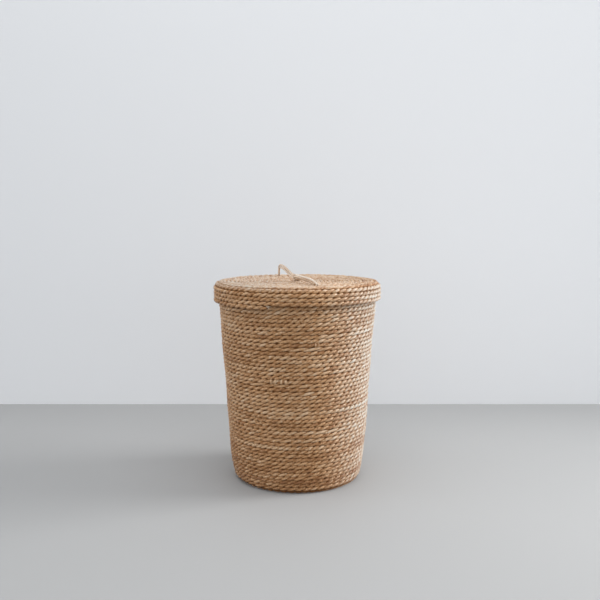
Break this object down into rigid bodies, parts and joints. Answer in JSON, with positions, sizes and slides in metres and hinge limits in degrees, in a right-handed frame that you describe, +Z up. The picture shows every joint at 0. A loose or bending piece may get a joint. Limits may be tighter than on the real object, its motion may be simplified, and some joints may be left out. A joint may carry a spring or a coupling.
{
  "type": "lidded storage basket",
  "caption": "Tall round basket with a lift-off lid, coiled from plied natural-fibre rope, with a cord handle knotted through the middle of the lid",
  "frame": {"origin": "the middle of the base's flat underside, on the floor", "axes": "+Z up along the basket's axis, -Y towards the front, +X to the right as seen from the front"},
  "size_m": [0.42, 0.42, 0.531],
  "materials": {
    "basket_rope": "matte",
    "lid_rope": "matte",
    "handle_cord": "matte"
  },
  "bodies": {
    "basket": {"base_coil": "basket_rope", "wall_coil_lower": "basket_rope", "wall_coil_middle": "basket_rope", "wall_coil_upper": "basket_rope"},
    "lid": {"lid_disc_coil": "lid_rope", "lid_skirt_coil": "lid_rope", "handle_anchor": "handle_cord", "handle_knot": "handle_cord", "handle_tail_long": "handle_cord", "handle_tail_short": "handle_cord"},
    "handle_loop": {"handle_loop": "handle_cord"}
  },
  "joints": [
    {"name": "lid_lift", "type": "slide", "parent": "basket", "child": "lid", "axis": [0, 0, 1], "range_m": [0, 0.15]},
    {"name": "loop_raise", "type": "hinge", "parent": "lid", "child": "handle_loop", "pos_m": [-0.0034, -0.0014, 0.5146], "axis": [0.872, 0.4895, 0], "range_deg": [0, 70]}
  ]
}
